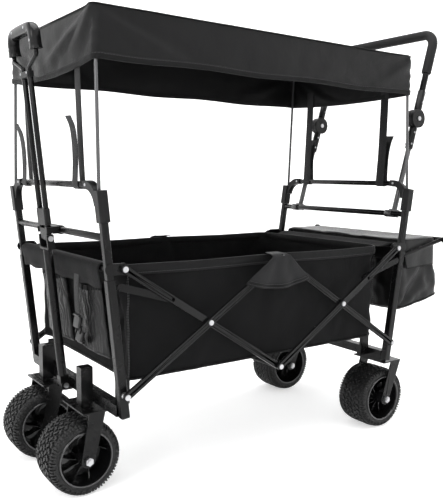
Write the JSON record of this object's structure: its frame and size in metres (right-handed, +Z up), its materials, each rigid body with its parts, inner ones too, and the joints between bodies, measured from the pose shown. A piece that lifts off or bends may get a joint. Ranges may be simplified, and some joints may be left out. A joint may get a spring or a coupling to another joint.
{
  "type": "folding wagon",
  "caption": "Folding wagon with fabric tub, canopy on poles, swivel front casters, telescoping pull handle, tilting push bar and rear storage bag.",
  "frame": {"origin": "on the ground under the middle of the overall length and width", "axes": "+X to the rear where the push bar is, +Y across the wagon, +Z up"},
  "size_m": [1.2594, 0.611, 1.2096],
  "materials": {
    "frame_black": "black powder coat, satin",
    "link_black": "black powder coat, satin",
    "steel": "bright zinc plated steel",
    "pole_grey": "dark grey lacquer",
    "tube_grey": "dark grey satin paint",
    "socket_plastic": "fine textured moulded plastic",
    "grip_plastic": "polished black plastic",
    "foam": "black foam rubber",
    "tyre": "black moulded tread",
    "rim": "glossy black plastic",
    "fabric": "black coated polyester weave",
    "webbing": "black ribbed webbing"
  },
  "bodies": {
    "rear_frame": {"rear_lower_frame": "frame_black", "rear_forks": "frame_black", "rear_frame_bolts": "steel"},
    "rear_low_links": {"rear_low_links": "link_black", "rear_low_rivets": "steel"},
    "rear_high_links": {"rear_high_links": "link_black", "rear_high_rivets": "steel"},
    "front_low_links": {"front_low_links": "link_black"},
    "front_high_links": {"front_high_links": "link_black", "front_high_rivets": "steel"},
    "front_frame": {"front_lower_frame": "frame_black", "front_frame_pins": "steel"},
    "front_upper": {"front_upper_frame": "frame_black", "front_corner_sockets": "socket_plastic", "front_top_bar": "frame_black", "front_canopy_poles": "pole_grey", "front_straps": "webbing", "front_pocket": "fabric", "pull_clip": "socket_plastic"},
    "rear_upper": {"rear_upper_frame": "frame_black", "rear_corner_sockets": "socket_plastic", "rear_top_bar": "frame_black", "rear_canopy_poles": "pole_grey", "rear_straps": "webbing", "canopy": "fabric", "tub": "fabric", "floor_mat": "fabric", "side_caps": "fabric", "rear_bag": "fabric", "bag_flap": "fabric", "bag_carrier": "frame_black", "push_lower_tubes": "tube_grey", "push_lower_sleeves": "socket_plastic", "push_hinge_pins": "steel"},
    "rear_floor": {"rear_floor_bars": "frame_black"},
    "front_floor": {"front_floor_bars": "frame_black"},
    "rear_braces": {"rear_braces": "frame_black"},
    "front_braces": {"front_braces": "frame_black"},
    "push_bar": {"push_upper_sleeves": "socket_plastic", "push_bar": "frame_black", "push_grip": "foam"},
    "pull_lower": {"pull_lower_tube": "frame_black", "pull_hinge_block": "socket_plastic", "pull_hinge_pin": "steel"},
    "pull_upper": {"pull_twin_tubes": "frame_black", "pull_ties": "socket_plastic"},
    "pull_grip": {"pull_inner_tubes": "frame_black", "pull_grip": "grip_plastic"},
    "front_right_caster": {"front_right_fork": "frame_black", "front_right_axle_bolt": "steel"},
    "front_right_wheel": {"front_right_tyre": "tyre", "front_right_rim": "rim"},
    "rear_right_wheel": {"rear_right_tyre": "tyre", "rear_right_rim": "rim"},
    "front_left_caster": {"front_left_fork": "frame_black", "front_left_axle_bolt": "steel"},
    "front_left_wheel": {"front_left_tyre": "tyre", "front_left_rim": "rim"},
    "rear_left_wheel": {"rear_left_tyre": "tyre", "rear_left_rim": "rim"}
  },
  "joints": [
    {"name": "fold", "type": "hinge", "parent": "rear_frame", "child": "rear_low_links", "pos_m": [0.37933, 0, 0.266], "axis": [0, 1, 0], "range_deg": [0, 43.63], "deforming": ["canopy", "tub", "floor_mat", "side_caps"]},
    {"name": "rear_high_link_turn", "type": "hinge", "parent": "rear_low_links", "child": "rear_high_links", "pos_m": [0.16033, 0, 0.407], "axis": [0, 1, 0], "range_deg": [-81, 0]},
    {"name": "front_low_link_turn", "type": "hinge", "parent": "rear_low_links", "child": "front_low_links", "pos_m": [-0.05867, 0, 0.548], "axis": [0, 1, 0], "range_deg": [-81, 0]},
    {"name": "front_high_link_turn", "type": "hinge", "parent": "front_low_links", "child": "front_high_links", "pos_m": [-0.27767, 0, 0.407], "axis": [0, 1, 0], "range_deg": [0, 81]},
    {"name": "front_frame_turn", "type": "hinge", "parent": "front_low_links", "child": "front_frame", "pos_m": [-0.49667, 0, 0.266], "axis": [0, 1, 0], "range_deg": [0, 44]},
    {"name": "rear_upper_slide", "type": "slide", "parent": "rear_frame", "child": "rear_upper", "axis": [0.1454, 0, 0.9894], "range_m": [0, 0.22]},
    {"name": "front_upper_slide", "type": "slide", "parent": "front_frame", "child": "front_upper", "axis": [-0.1074, 0, 0.9942], "range_m": [0, 0.22]},
    {"name": "rear_floor_turn", "type": "hinge", "parent": "rear_frame", "child": "rear_floor", "pos_m": [0.33633, 0, 0.281], "axis": [0, 1, 0], "range_deg": [0, 77]},
    {"name": "front_floor_turn", "type": "hinge", "parent": "front_frame", "child": "front_floor", "pos_m": [-0.45367, 0, 0.281], "axis": [0, 1, 0], "range_deg": [-77, 0]},
    {"name": "rear_brace_turn", "type": "hinge", "parent": "rear_frame", "child": "rear_braces", "pos_m": [0.3947, 0, 0.508], "axis": [0, 1, 0], "range_deg": [0, 91]},
    {"name": "front_brace_turn", "type": "hinge", "parent": "front_frame", "child": "front_braces", "pos_m": [-0.50261, 0, 0.508], "axis": [0, 1, 0], "range_deg": [-94, 0]},
    {"name": "push_bar_tilt", "type": "hinge", "parent": "rear_upper", "child": "push_bar", "pos_m": [0.53845, 0, 0.93109], "axis": [0, 1, 0], "range_deg": [-35, 75]},
    {"name": "pull_handle_drop", "type": "hinge", "parent": "front_frame", "child": "pull_lower", "pos_m": [-0.52267, 0, 0.222], "axis": [0, 1, 0], "range_deg": [-68, 0]},
    {"name": "pull_handle_fold", "type": "hinge", "parent": "pull_lower", "child": "pull_upper", "pos_m": [-0.56122, 0, 0.59501], "axis": [0, 1, 0], "range_deg": [-140, 0]},
    {"name": "pull_handle_extend", "type": "slide", "parent": "pull_upper", "child": "pull_grip", "axis": [-0.1028, 0, 0.9947], "range_m": [0, 0.22]},
    {"name": "front_right_swivel", "type": "hinge", "parent": "front_frame", "child": "front_right_caster", "pos_m": [-0.52167, -0.125, 0], "axis": [0, 0, 1], "continuous": true},
    {"name": "front_right_spin", "type": "hinge", "parent": "front_right_caster", "child": "front_right_wheel", "pos_m": [-0.53967, -0.125, 0.09], "axis": [0, 1, 0], "continuous": true},
    {"name": "rear_right_spin", "type": "hinge", "parent": "rear_frame", "child": "rear_right_wheel", "pos_m": [0.37833, -0.213, 0.09], "axis": [0, 1, 0], "continuous": true},
    {"name": "front_left_swivel", "type": "hinge", "parent": "front_frame", "child": "front_left_caster", "pos_m": [-0.52167, 0.125, 0], "axis": [0, 0, 1], "continuous": true},
    {"name": "front_left_spin", "type": "hinge", "parent": "front_left_caster", "child": "front_left_wheel", "pos_m": [-0.53967, 0.125, 0.09], "axis": [0, 1, 0], "continuous": true},
    {"name": "rear_left_spin", "type": "hinge", "parent": "rear_frame", "child": "rear_left_wheel", "pos_m": [0.37833, 0.213, 0.09], "axis": [0, 1, 0], "continuous": true}
  ],
  "couplings": [
    {"joint": "rear_high_link_turn", "follows": "fold", "ratio": -1.8334},
    {"joint": "front_low_link_turn", "follows": "fold", "ratio": -1.8334},
    {"joint": "front_high_link_turn", "follows": "fold", "ratio": 1.8334},
    {"joint": "front_frame_turn", "follows": "fold", "ratio": 0.97801},
    {"joint": "rear_upper_slide", "follows": "fold", "m_per_rad": 0.28477},
    {"joint": "front_upper_slide", "follows": "fold", "m_per_rad": 0.28399},
    {"joint": "rear_floor_turn", "follows": "fold", "ratio": 1.7417},
    {"joint": "front_floor_turn", "follows": "fold", "ratio": -1.7417},
    {"joint": "rear_brace_turn", "follows": "fold", "ratio": 2.044},
    {"joint": "front_brace_turn", "follows": "fold", "ratio": -2.1024}
  ]
}
